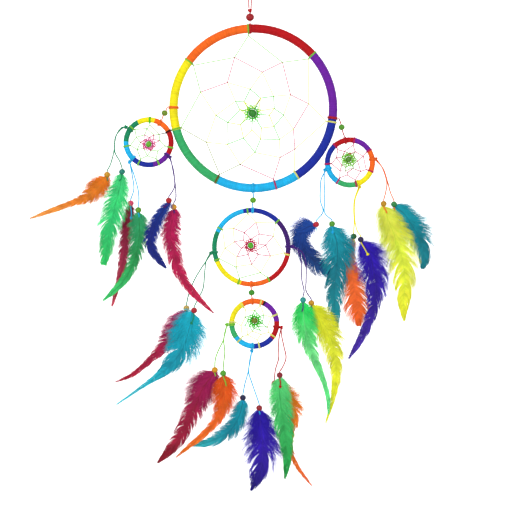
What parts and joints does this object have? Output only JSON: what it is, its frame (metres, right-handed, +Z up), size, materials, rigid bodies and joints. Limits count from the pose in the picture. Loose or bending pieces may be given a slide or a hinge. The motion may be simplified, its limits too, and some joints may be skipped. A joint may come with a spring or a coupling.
{
  "type": "dream catcher",
  "caption": "Hanging web ornament of thread-wrapped hoops with knotted webs, wooden beads and cord tassels that end in dyed feathers.",
  "frame": {"origin": "where a hook bears, inside the top of the hanging loop", "axes": "+Z up, the front of the hoops faces -Y, +X to the right seen from the front"},
  "size_m": [0.3808, 0.0165, 0.507],
  "materials": {
    "hoop_core": "bare ring hidden by the wrapping",
    "wrap_thread": "tightly wound satin thread in seven bright colours a hoop",
    "web_thread": "fine waxed thread, in lemon, lime and pink",
    "red_cord": "two-ply waxed cotton cord",
    "sea_cord": "two-ply waxed cotton cord",
    "cyan_cord": "two-ply waxed cotton cord",
    "purple_cord": "two-ply waxed cotton cord",
    "yellow_cord": "two-ply waxed cotton cord",
    "orange_cord": "two-ply waxed cotton cord",
    "lime_cord": "two-ply waxed cotton cord",
    "green_bead": "turned wooden bead, glossy paint",
    "red_bead": "turned wooden bead, glossy paint",
    "left_orange_vane": "dyed feather, soft barbs",
    "left_green_vane": "dyed feather, soft barbs",
    "left_crimson_vane": "dyed feather, soft barbs",
    "left_emerald_vane": "dyed feather, soft barbs",
    "left_blue_vane": "dyed feather, soft barbs",
    "left_magenta_vane": "dyed feather, soft barbs",
    "middle_magenta_vane": "dyed feather, soft barbs",
    "middle_teal_vane": "dyed feather, soft barbs",
    "middle_mint_vane": "dyed feather, soft barbs",
    "middle_yellow_vane": "dyed feather, soft barbs",
    "right_blue_vane": "dyed feather, soft barbs",
    "right_teal_vane": "dyed feather, soft barbs",
    "right_orange_vane": "dyed feather, soft barbs",
    "right_violet_vane": "dyed feather, soft barbs",
    "right_yellow_vane": "dyed feather, soft barbs",
    "right_aqua_vane": "dyed feather, soft barbs",
    "lower_crimson_vane": "dyed feather, soft barbs",
    "lower_orange_vane": "dyed feather, soft barbs",
    "lower_teal_vane": "dyed feather, soft barbs",
    "lower_violet_vane": "dyed feather, soft barbs",
    "lower_amber_vane": "dyed feather, soft barbs",
    "lower_green_vane": "dyed feather, soft barbs"
  },
  "bodies": {
    "hanger": {"hanging_loop": "red_cord"},
    "top": {"top_bead": "red_bead"},
    "main_hoop": {"main_ring": "hoop_core", "main_wrap": "wrap_thread", "main_web": "web_thread", "main_web_bead": "green_bead"},
    "middle_hoop": {"middle_ring": "hoop_core", "middle_wrap": "wrap_thread", "middle_web": "web_thread", "middle_web_bead": "green_bead"},
    "left_hoop": {"left_ring": "hoop_core", "left_wrap": "wrap_thread", "left_web": "web_thread", "left_web_bead": "green_bead"},
    "right_hoop": {"right_ring": "hoop_core", "right_wrap": "wrap_thread", "right_web": "web_thread", "right_web_bead": "green_bead"},
    "lower_hoop": {"lower_ring": "hoop_core", "lower_wrap": "wrap_thread", "lower_web": "web_thread", "lower_web_bead": "green_bead"},
    "middle_link_body": {"middle_link": "green_bead"},
    "left_link_body": {"left_link": "green_bead"},
    "right_link_body": {"right_link": "green_bead"},
    "lower_link_body": {"lower_link": "green_bead"},
    "left_outer_tassel": {"left_outer_cord": "sea_cord"},
    "left_lower_tassel": {"left_lower_cord": "cyan_cord"},
    "left_inner_tassel": {"left_inner_cord": "purple_cord"},
    "middle_left_tassel": {"middle_left_cord": "sea_cord"},
    "middle_right_tassel": {"middle_right_cord": "purple_cord"},
    "right_inner_tassel": {"right_inner_cord": "cyan_cord"},
    "right_lower_tassel": {"right_lower_cord": "yellow_cord"},
    "right_outer_tassel": {"right_outer_cord": "orange_cord"},
    "lower_left_tassel": {"lower_left_cord": "lime_cord"},
    "lower_bottom_tassel": {"lower_bottom_cord": "cyan_cord"},
    "lower_right_tassel": {"lower_right_cord": "red_cord"},
    "left_orange_plume": {"left_orange_feather": "left_orange_vane"},
    "left_green_plume": {"left_green_feather": "left_green_vane"},
    "left_crimson_plume": {"left_crimson_feather": "left_crimson_vane"},
    "left_emerald_plume": {"left_emerald_feather": "left_emerald_vane"},
    "left_blue_plume": {"left_blue_feather": "left_blue_vane"},
    "left_magenta_plume": {"left_magenta_feather": "left_magenta_vane"},
    "middle_magenta_plume": {"middle_magenta_feather": "middle_magenta_vane"},
    "middle_teal_plume": {"middle_teal_feather": "middle_teal_vane"},
    "middle_mint_plume": {"middle_mint_feather": "middle_mint_vane"},
    "middle_yellow_plume": {"middle_yellow_feather": "middle_yellow_vane"},
    "right_blue_plume": {"right_blue_feather": "right_blue_vane"},
    "right_teal_plume": {"right_teal_feather": "right_teal_vane"},
    "right_orange_plume": {"right_orange_feather": "right_orange_vane"},
    "right_violet_plume": {"right_violet_feather": "right_violet_vane"},
    "right_yellow_plume": {"right_yellow_feather": "right_yellow_vane"},
    "right_aqua_plume": {"right_aqua_feather": "right_aqua_vane"},
    "lower_crimson_plume": {"lower_crimson_feather": "lower_crimson_vane"},
    "lower_orange_plume": {"lower_orange_feather": "lower_orange_vane"},
    "lower_teal_plume": {"lower_teal_feather": "lower_teal_vane"},
    "lower_violet_plume": {"lower_violet_feather": "lower_violet_vane"},
    "lower_amber_plume": {"lower_amber_feather": "lower_amber_vane"},
    "lower_green_plume": {"lower_green_feather": "lower_green_vane"}
  },
  "joints": [
    {"name": "main_spin", "type": "hinge", "parent": "hanger", "child": "top", "pos_m": [0, 0, -0.06255], "axis": [0, 0, 1], "range_deg": [-180, 180]},
    {"name": "main_swing", "type": "hinge", "parent": "top", "child": "main_hoop", "pos_m": [0, 0, -0.06255], "axis": [1, 0, 0], "range_deg": [-30, 30]},
    {"name": "middle_link_swing", "type": "hinge", "parent": "main_hoop", "child": "middle_link_body", "pos_m": [0.00315, 0, -0.22649], "axis": [1, 0, 0], "range_deg": [0, 20]},
    {"name": "middle_swing", "type": "hinge", "parent": "middle_link_body", "child": "middle_hoop", "pos_m": [0.00265, 0, -0.23699], "axis": [1, 0, 0], "range_deg": [0, 20]},
    {"name": "left_link_swing", "type": "hinge", "parent": "main_hoop", "child": "left_link_body", "pos_m": [-0.07885, 0, -0.14377], "axis": [1, 0, 0], "range_deg": [-20, 0]},
    {"name": "left_swing", "type": "hinge", "parent": "left_link_body", "child": "left_hoop", "pos_m": [-0.08335, 0, -0.15427], "axis": [1, 0, 0], "range_deg": [-20, 0]},
    {"name": "right_link_swing", "type": "hinge", "parent": "main_hoop", "child": "right_link_body", "pos_m": [0.08454, 0, -0.15448], "axis": [1, 0, 0], "range_deg": [-20, 20]},
    {"name": "right_swing", "type": "hinge", "parent": "right_link_body", "child": "right_hoop", "pos_m": [0.08954, 0, -0.17048], "axis": [1, 0, 0], "range_deg": [-20, 20]},
    {"name": "lower_link_swing", "type": "hinge", "parent": "middle_hoop", "child": "lower_link_body", "pos_m": [0.00127, 0, -0.31596], "axis": [1, 0, 0], "range_deg": [-20, 20]},
    {"name": "lower_swing", "type": "hinge", "parent": "lower_link_body", "child": "lower_hoop", "pos_m": [0.00177, 0, -0.32316], "axis": [1, 0, 0], "range_deg": [-20, 20]},
    {"name": "left_outer_tassel_swing", "type": "hinge", "parent": "left_hoop", "child": "left_outer_tassel", "pos_m": [-0.1179, 0, -0.16225], "axis": [1, 0, 0], "range_deg": [-30, 30]},
    {"name": "left_lower_tassel_swing", "type": "hinge", "parent": "left_hoop", "child": "left_lower_tassel", "pos_m": [-0.11441, 0, -0.19549], "axis": [1, 0, 0], "range_deg": [-20, 30]},
    {"name": "left_inner_tassel_swing", "type": "hinge", "parent": "left_hoop", "child": "left_inner_tassel", "pos_m": [-0.07596, -0.003, -0.19107], "axis": [1, 0, 0], "range_deg": [-35, 0]},
    {"name": "middle_left_tassel_swing", "type": "hinge", "parent": "middle_hoop", "child": "middle_left_tassel", "pos_m": [-0.03707, 0.0025, -0.28185], "axis": [1, 0, 0], "range_deg": [0, 35]},
    {"name": "middle_right_tassel_swing", "type": "hinge", "parent": "middle_hoop", "child": "middle_right_tassel", "pos_m": [0.04028, -0.002, -0.27579], "axis": [1, 0, 0], "range_deg": [-30, 12]},
    {"name": "right_inner_tassel_swing", "type": "hinge", "parent": "right_hoop", "child": "right_inner_tassel", "pos_m": [0.0715, 0.0035, -0.20264], "axis": [1, 0, 0], "range_deg": [-30, 0]},
    {"name": "right_lower_tassel_swing", "type": "hinge", "parent": "right_hoop", "child": "right_lower_tassel", "pos_m": [0.10426, 0.003, -0.21899], "axis": [1, 0, 0], "range_deg": [0, 20]},
    {"name": "right_outer_tassel_swing", "type": "hinge", "parent": "right_hoop", "child": "right_outer_tassel", "pos_m": [0.11959, 0.003, -0.19245], "axis": [1, 0, 0], "range_deg": [-30, 30]},
    {"name": "lower_left_tassel_swing", "type": "hinge", "parent": "lower_hoop", "child": "lower_left_tassel", "pos_m": [-0.02195, 0, -0.34997], "axis": [1, 0, 0], "range_deg": [-30, 30]},
    {"name": "lower_bottom_tassel_swing", "type": "hinge", "parent": "lower_hoop", "child": "lower_bottom_tassel", "pos_m": [0.00177, 0.0005, -0.37494], "axis": [1, 0, 0], "range_deg": [-30, 30]},
    {"name": "lower_right_tassel_swing", "type": "hinge", "parent": "lower_hoop", "child": "lower_right_tassel", "pos_m": [0.02967, -0.001, -0.35267], "axis": [1, 0, 0], "range_deg": [-20, 20]},
    {"name": "left_orange_feather_swing", "type": "hinge", "parent": "left_outer_tassel", "child": "left_orange_plume", "pos_m": [-0.1359, 0.002, -0.20435], "axis": [1, 0, 0], "range_deg": [-30, 30]},
    {"name": "left_green_feather_swing", "type": "hinge", "parent": "left_outer_tassel", "child": "left_green_plume", "pos_m": [-0.1214, -0.002, -0.20185], "axis": [1, 0, 0], "range_deg": [-30, 30]},
    {"name": "left_crimson_feather_swing", "type": "hinge", "parent": "left_lower_tassel", "child": "left_crimson_plume", "pos_m": [-0.11341, 0.002, -0.23159], "axis": [1, 0, 0], "range_deg": [0, 35]},
    {"name": "left_emerald_feather_swing", "type": "hinge", "parent": "left_lower_tassel", "child": "left_emerald_plume", "pos_m": [-0.10591, -0.002, -0.23809], "axis": [1, 0, 0], "range_deg": [-35, 0]},
    {"name": "left_blue_feather_swing", "type": "hinge", "parent": "left_inner_tassel", "child": "left_blue_plume", "pos_m": [-0.07696, -0.005, -0.22917], "axis": [1, 0, 0], "range_deg": [-35, 0]},
    {"name": "left_magenta_feather_swing", "type": "hinge", "parent": "left_inner_tassel", "child": "left_magenta_plume", "pos_m": [-0.07246, -0.001, -0.23517], "axis": [1, 0, 0], "range_deg": [-35, 0]},
    {"name": "middle_magenta_feather_swing", "type": "hinge", "parent": "middle_left_tassel", "child": "middle_magenta_plume", "pos_m": [-0.06057, 0.0045, -0.33145], "axis": [1, 0, 0], "range_deg": [0, 35]},
    {"name": "middle_teal_feather_swing", "type": "hinge", "parent": "middle_left_tassel", "child": "middle_teal_plume", "pos_m": [-0.05307, 0.0005, -0.33345], "axis": [1, 0, 0], "range_deg": [-35, 0]},
    {"name": "middle_mint_feather_swing", "type": "hinge", "parent": "middle_right_tassel", "child": "middle_mint_plume", "pos_m": [0.05028, -0.004, -0.32338], "axis": [1, 0, 0], "range_deg": [-35, 0]},
    {"name": "middle_yellow_feather_swing", "type": "hinge", "parent": "middle_right_tassel", "child": "middle_yellow_plume", "pos_m": [0.05828, 0, -0.32638], "axis": [1, 0, 0], "range_deg": [0, 20]},
    {"name": "right_blue_feather_swing", "type": "hinge", "parent": "right_inner_tassel", "child": "right_blue_plume", "pos_m": [0.063, 0.0055, -0.25174], "axis": [1, 0, 0], "range_deg": [0, 35]},
    {"name": "right_teal_feather_swing", "type": "hinge", "parent": "right_inner_tassel", "child": "right_teal_plume", "pos_m": [0.078, 0.0015, -0.25124], "axis": [1, 0, 0], "range_deg": [-35, 0]},
    {"name": "right_orange_feather_swing", "type": "hinge", "parent": "right_lower_tassel", "child": "right_orange_plume", "pos_m": [0.09877, 0.005, -0.26309], "axis": [1, 0, 0], "range_deg": [0, 35]},
    {"name": "right_violet_feather_swing", "type": "hinge", "parent": "right_lower_tassel", "child": "right_violet_plume", "pos_m": [0.10526, 0.001, -0.26609], "axis": [1, 0, 0], "range_deg": [-35, 0]},
    {"name": "right_yellow_feather_swing", "type": "hinge", "parent": "right_outer_tassel", "child": "right_yellow_plume", "pos_m": [0.12709, 0.002, -0.23205], "axis": [1, 0, 0], "range_deg": [-35, 0]},
    {"name": "right_aqua_feather_swing", "type": "hinge", "parent": "right_outer_tassel", "child": "right_aqua_plume", "pos_m": [0.13709, 0.004, -0.23255], "axis": [1, 0, 0], "range_deg": [0, 35]},
    {"name": "lower_crimson_feather_swing", "type": "hinge", "parent": "lower_left_tassel", "child": "lower_crimson_plume", "pos_m": [-0.03345, 0.002, -0.39007], "axis": [1, 0, 0], "range_deg": [0, 35]},
    {"name": "lower_orange_feather_swing", "type": "hinge", "parent": "lower_left_tassel", "child": "lower_orange_plume", "pos_m": [-0.02545, -0.002, -0.39307], "axis": [1, 0, 0], "range_deg": [-35, 0]},
    {"name": "lower_teal_feather_swing", "type": "hinge", "parent": "lower_bottom_tassel", "child": "lower_teal_plume", "pos_m": [-0.00673, 0.0025, -0.41654], "axis": [1, 0, 0], "range_deg": [0, 35]},
    {"name": "lower_violet_feather_swing", "type": "hinge", "parent": "lower_bottom_tassel", "child": "lower_violet_plume", "pos_m": [0.00877, -0.0015, -0.42604], "axis": [1, 0, 0], "range_deg": [-35, 0]},
    {"name": "lower_amber_feather_swing", "type": "hinge", "parent": "lower_right_tassel", "child": "lower_amber_plume", "pos_m": [0.02317, 0.001, -0.40277], "axis": [1, 0, 0], "range_deg": [0, 35]},
    {"name": "lower_green_feather_swing", "type": "hinge", "parent": "lower_right_tassel", "child": "lower_green_plume", "pos_m": [0.02817, -0.003, -0.39477], "axis": [1, 0, 0], "range_deg": [-35, 0]}
  ]
}
